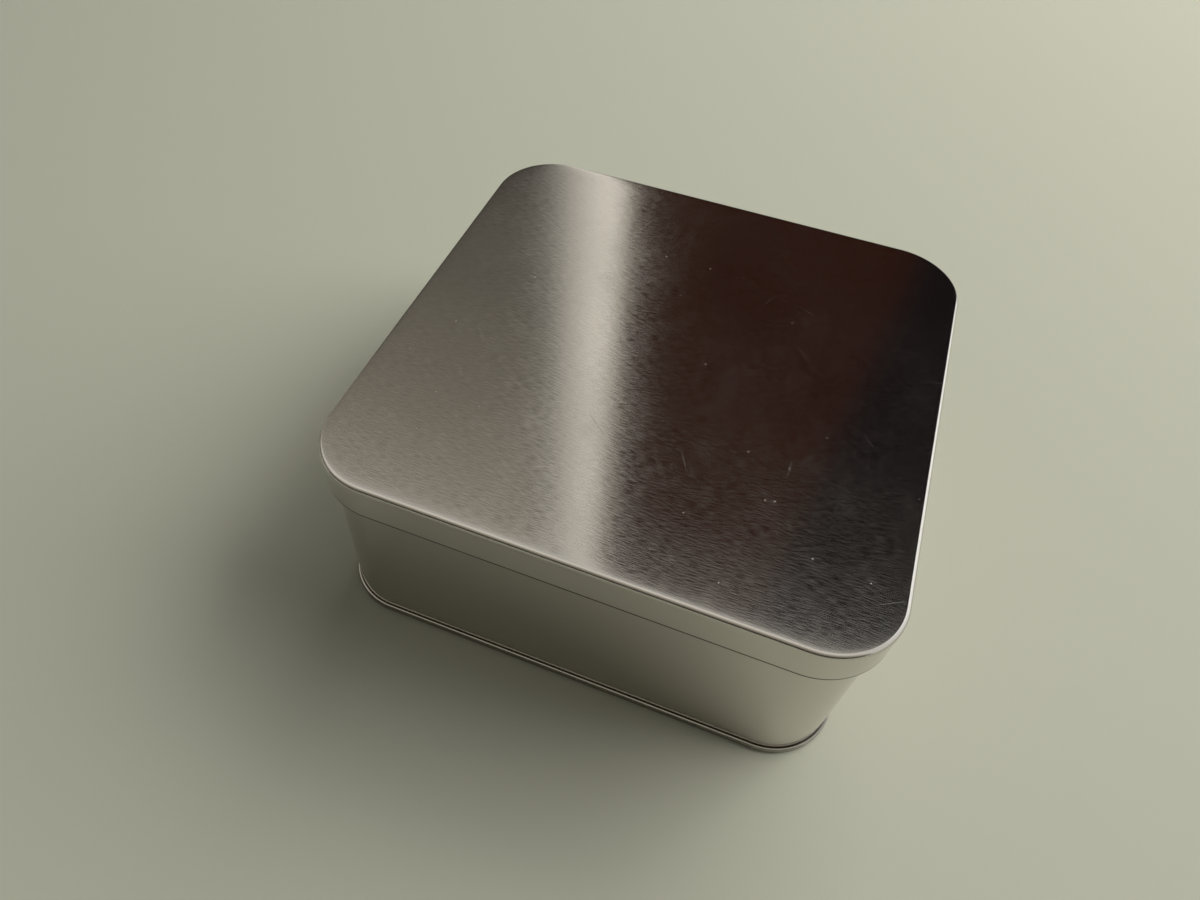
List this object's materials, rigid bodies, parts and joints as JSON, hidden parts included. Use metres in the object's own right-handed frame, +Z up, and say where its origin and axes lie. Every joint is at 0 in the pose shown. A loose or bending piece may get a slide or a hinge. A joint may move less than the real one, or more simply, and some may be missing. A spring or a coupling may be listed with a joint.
{
  "type": "slip-lid tin",
  "caption": "Square tinplate tin with rounded corners: a lift-off slip lid with a curled skirt over a wrapped wall, and a recessed bottom held by a double seam at the foot.",
  "frame": {"origin": "centre of the foot, on the plane the tin stands on", "axes": "+Z up through the lid, -Y towards the front face that the picture shows, +X along that face to the right"},
  "size_m": [0.15, 0.15, 0.063],
  "materials": {
    "brushed_tinplate": "unlacquered tinplate with a fine straight grain along the front edge",
    "bright_tinplate": "unlacquered bright tinplate, a soft blurred mirror"
  },
  "bodies": {
    "tin": {"body_wall": "bright_tinplate", "bottom_panel": "bright_tinplate"},
    "lid": {"lid": "brushed_tinplate"}
  },
  "joints": [
    {"name": "lid_lift", "type": "slide", "parent": "tin", "child": "lid", "axis": [0, 0, 1], "range_m": [0, 0.08]}
  ]
}
